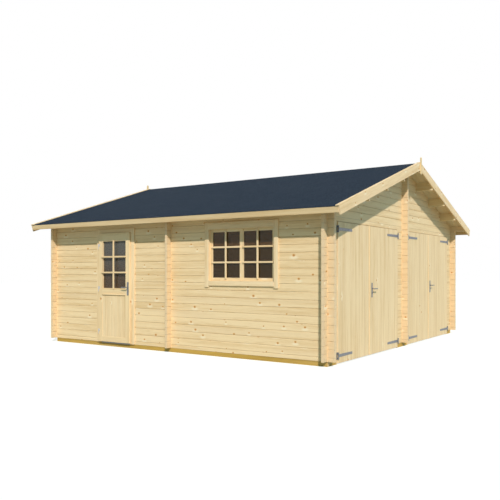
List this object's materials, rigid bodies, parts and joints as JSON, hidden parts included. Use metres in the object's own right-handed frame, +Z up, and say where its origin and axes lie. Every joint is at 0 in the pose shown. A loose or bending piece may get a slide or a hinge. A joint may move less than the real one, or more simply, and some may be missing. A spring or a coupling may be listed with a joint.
{
  "type": "log garage cabin",
  "caption": "Hollow log garage cabin with a low gable roof, boarded garage doors in one gable, a half-glazed side door and a barred window; every door leaf swings outward.",
  "frame": {"origin": "on the ground under the middle of the plan", "axes": "+X along the ridge towards the garage gable, -Y towards the wall with the side door and the window, +Z up"},
  "size_m": [6.4408, 6.36, 3.2985],
  "materials": {
    "log_pine": "planed bare pine logs",
    "trim_pine": "planed bare pine boards",
    "door_pine": "planed bare pine boards",
    "base_timber": "pressure-treated timber",
    "roofing": "mineral-faced bitumen sheet, matt",
    "ironwork": "galvanised, dull",
    "glazing": "clear"
  },
  "bodies": {
    "cabin": {"base_beams": "base_timber", "door_wall_rear_logs": "log_pine", "door_wall_front_logs": "log_pine", "door_wall_top_logs": "log_pine", "far_wall_logs": "log_pine", "rear_gable_logs": "log_pine", "front_left_corner_logs": "log_pine", "front_right_corner_logs": "log_pine", "front_pier_logs": "log_pine", "front_gable_top_logs": "log_pine", "door_wall_stiffener": "log_pine", "far_wall_stiffener": "log_pine", "front_stiffener": "log_pine", "rear_stiffener": "log_pine", "purlins": "trim_pine", "door_side_roof_boards": "trim_pine", "far_side_roof_boards": "trim_pine", "door_side_roofing": "roofing", "far_side_roofing": "roofing", "fascias": "trim_pine", "front_bargeboards": "trim_pine", "rear_bargeboards": "trim_pine", "finials": "trim_pine", "side_door_frame": "trim_pine", "side_door_threshold": "ironwork", "side_door_hinge_pins": "ironwork", "window_frame": "trim_pine", "window_sashes": "trim_pine", "window_glass": "glazing", "garage_door_frames": "trim_pine", "garage_hinge_plates": "ironwork"},
    "side_door": {"side_door_leaf": "door_pine", "side_door_glass": "glazing", "side_door_handle": "ironwork", "side_door_hinge_flaps": "ironwork"},
    "left_bay_left_door": {"left_bay_left_leaf": "door_pine", "left_bay_left_straps": "ironwork"},
    "left_bay_right_door": {"left_bay_right_leaf": "door_pine", "left_bay_right_straps": "ironwork", "left_bay_handle": "ironwork"},
    "right_bay_left_door": {"right_bay_left_leaf": "door_pine", "right_bay_left_straps": "ironwork"},
    "right_bay_right_door": {"right_bay_right_leaf": "door_pine", "right_bay_right_straps": "ironwork", "right_bay_handle": "ironwork"}
  },
  "joints": [
    {"name": "side_door_hinge", "type": "hinge", "parent": "cabin", "child": "side_door", "pos_m": [-1.6425, -2.9204, 1], "axis": [0, 0, -1], "range_deg": [0, 90]},
    {"name": "left_bay_left_hinge", "type": "hinge", "parent": "cabin", "child": "left_bay_left_door", "pos_m": [2.898, -2.5734, 1], "axis": [0, 0, -1], "range_deg": [0, 90]},
    {"name": "left_bay_right_hinge", "type": "hinge", "parent": "cabin", "child": "left_bay_right_door", "pos_m": [2.898, -0.2564, 1], "axis": [0, 0, 1], "range_deg": [0, 90]},
    {"name": "right_bay_left_hinge", "type": "hinge", "parent": "cabin", "child": "right_bay_left_door", "pos_m": [2.898, 0.2564, 1], "axis": [0, 0, -1], "range_deg": [0, 90]},
    {"name": "right_bay_right_hinge", "type": "hinge", "parent": "cabin", "child": "right_bay_right_door", "pos_m": [2.898, 2.5734, 1], "axis": [0, 0, 1], "range_deg": [0, 90]}
  ]
}
